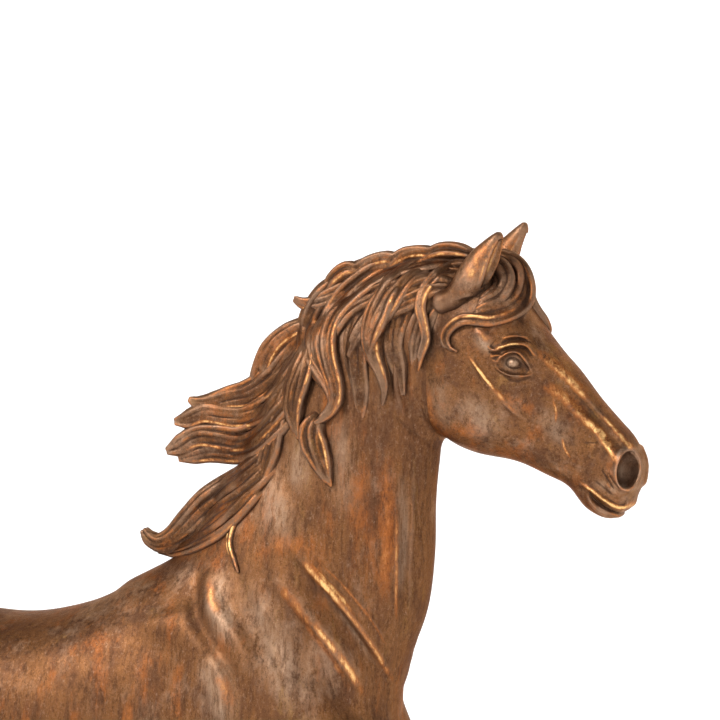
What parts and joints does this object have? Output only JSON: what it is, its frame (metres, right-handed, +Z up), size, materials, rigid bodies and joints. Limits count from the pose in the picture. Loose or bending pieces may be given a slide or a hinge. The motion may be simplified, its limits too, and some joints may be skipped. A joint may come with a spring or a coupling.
{
  "type": "horse statue",
  "caption": "Bronze horse in a proud walk, one foreleg raised, with a flowing mane and an arched tail, on a ground plate and a low dark wooden plinth.",
  "frame": {"origin": "middle of the whole outline's footprint at table height, under the pads", "axes": "+X the way the horse faces, +Y the horse's left side, +Z up"},
  "size_m": [0.4324, 0.11, 0.4324],
  "materials": {
    "antique_bronze": "antique bronze patina, dark in the hollows and rubbed to gold on the ridges, satin",
    "raw_bronze": "as cast, unpatinated",
    "steel": "zinc plated",
    "dark_wood": "dark stained, satin lacquer",
    "felt": "dark felt"
  },
  "bodies": {
    "root": {"body_casting": "antique_bronze", "neck_casting": "antique_bronze", "head_casting": "antique_bronze", "left_foreleg": "antique_bronze", "right_foreleg": "antique_bronze", "left_hind_leg": "antique_bronze", "right_hind_leg": "antique_bronze", "right_ear": "antique_bronze", "left_ear": "antique_bronze", "mane_crest": "antique_bronze", "mane_lock_behind_ear": "antique_bronze", "mane_lock_middle": "antique_bronze", "mane_lock_rear": "antique_bronze", "mane_lock_curl": "antique_bronze", "mane_lock_leaf": "antique_bronze", "mane_lock_tip": "antique_bronze", "mane_wisp_top": "antique_bronze", "mane_tuft_upper": "antique_bronze", "mane_tuft_middle": "antique_bronze", "mane_tuft_lower": "antique_bronze", "mane_tail_lock": "antique_bronze", "mane_wisp_shoulder": "antique_bronze", "far_lock_front": "antique_bronze", "far_lock_middle": "antique_bronze", "far_lock_rear": "antique_bronze", "far_tuft": "antique_bronze", "forelock": "antique_bronze", "tail_casting": "antique_bronze", "ground_plate": "antique_bronze", "neck_joint_sleeve": "raw_bronze", "head_joint_sleeve": "raw_bronze", "left_fore_stud": "steel", "left_fore_washer": "steel", "left_fore_nut": "steel", "left_hind_stud": "steel", "left_hind_washer": "steel", "left_hind_nut": "steel", "right_hind_stud": "steel", "right_hind_washer": "steel", "right_hind_nut": "steel", "plinth_screw_front_left": "steel", "plinth_screw_front_right": "steel", "plinth_screw_rear_left": "steel", "plinth_screw_rear_right": "steel", "wooden_plinth": "dark_wood", "felt_pad_front_left": "felt", "felt_pad_front_right": "felt", "felt_pad_rear_left": "felt", "felt_pad_rear_right": "felt"}
  },
  "joints": []
}
